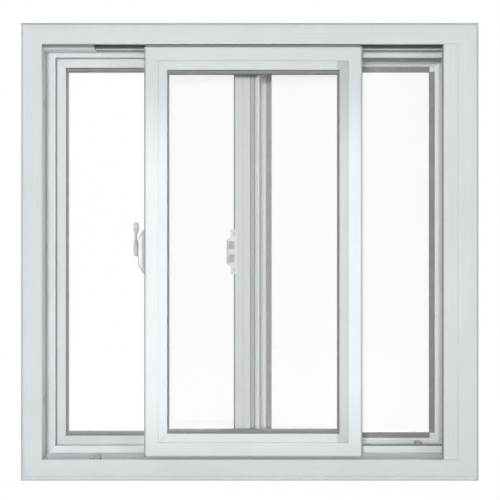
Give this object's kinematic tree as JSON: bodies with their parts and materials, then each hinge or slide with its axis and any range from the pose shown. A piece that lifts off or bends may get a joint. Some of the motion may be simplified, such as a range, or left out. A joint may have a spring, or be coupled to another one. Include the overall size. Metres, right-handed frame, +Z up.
{
  "type": "horizontal sliding window",
  "caption": "White vinyl horizontal sliding window with double-glazed sashes on two tracks, a lever lock on the meeting stile and a half insect screen on the weather side.",
  "frame": {"origin": "on the underside of the sill, at mid width and at the middle of the frame's depth", "axes": "+X to the right seen from the room, +Y from the room to the weather side, +Z up"},
  "size_m": [0.762, 0.102, 0.762],
  "materials": {
    "frame_vinyl": "satin",
    "sash_vinyl": "satin",
    "lock_enamel": "gloss",
    "screen_bar_paint": "satin",
    "screen_spline": "matte",
    "screen_mesh": "woven",
    "clear_glass": "polished",
    "edge_spacer": "matte",
    "roller_nylon": "satin"
  },
  "bodies": {
    "frame": {"frame_head": "frame_vinyl", "frame_sill": "frame_vinyl", "frame_left_jamb": "frame_vinyl", "frame_right_jamb": "frame_vinyl", "jamb_pocket_cover": "frame_vinyl", "front_sill_track": "frame_vinyl", "rear_sill_track": "frame_vinyl", "front_head_guide": "frame_vinyl", "rear_head_guide": "frame_vinyl", "front_track_stop": "frame_vinyl", "rear_track_stop": "frame_vinyl", "screen_top_bar": "screen_bar_paint", "screen_bottom_bar": "screen_bar_paint", "screen_left_bar": "screen_bar_paint", "screen_right_bar": "screen_bar_paint", "screen_spline": "screen_spline", "screen_mesh": "screen_mesh", "sill_weep_covers": "frame_vinyl"},
    "inner_sash": {"inner_sash_top_rail": "sash_vinyl", "inner_sash_bottom_rail": "sash_vinyl", "inner_sash_lock_stile": "sash_vinyl", "inner_sash_pull_stile": "sash_vinyl", "inner_sash_beads": "sash_vinyl", "inner_sash_room_pane": "clear_glass", "inner_sash_weather_pane": "clear_glass", "inner_sash_spacer": "edge_spacer", "inner_sash_rollers": "roller_nylon", "inner_sash_roller_carriers": "roller_nylon", "lock_case": "lock_enamel"},
    "outer_sash": {"outer_sash_top_rail": "sash_vinyl", "outer_sash_bottom_rail": "sash_vinyl", "outer_sash_jamb_stile": "sash_vinyl", "outer_sash_meeting_stile": "sash_vinyl", "outer_sash_beads": "sash_vinyl", "outer_sash_room_pane": "clear_glass", "outer_sash_weather_pane": "clear_glass", "outer_sash_spacer": "edge_spacer", "outer_sash_rollers": "roller_nylon", "outer_sash_roller_carriers": "roller_nylon", "outer_sash_interlock": "sash_vinyl", "lock_keeper": "lock_enamel"},
    "lock_lever": {"lock_lever": "lock_enamel"}
  },
  "joints": [
    {"name": "inner_sash_slide", "type": "slide", "parent": "frame", "child": "inner_sash", "axis": [1, 0, 0], "range_m": [-0.069, 0.149]},
    {"name": "outer_sash_slide", "type": "slide", "parent": "frame", "child": "outer_sash", "axis": [1, 0, 0], "range_m": [0, 0.266]},
    {"name": "lock_lever_turn", "type": "hinge", "parent": "inner_sash", "child": "lock_lever", "pos_m": [-0.1815, -0.022, 0.381], "axis": [1, 0, 0], "range_deg": [0, 180]}
  ]
}
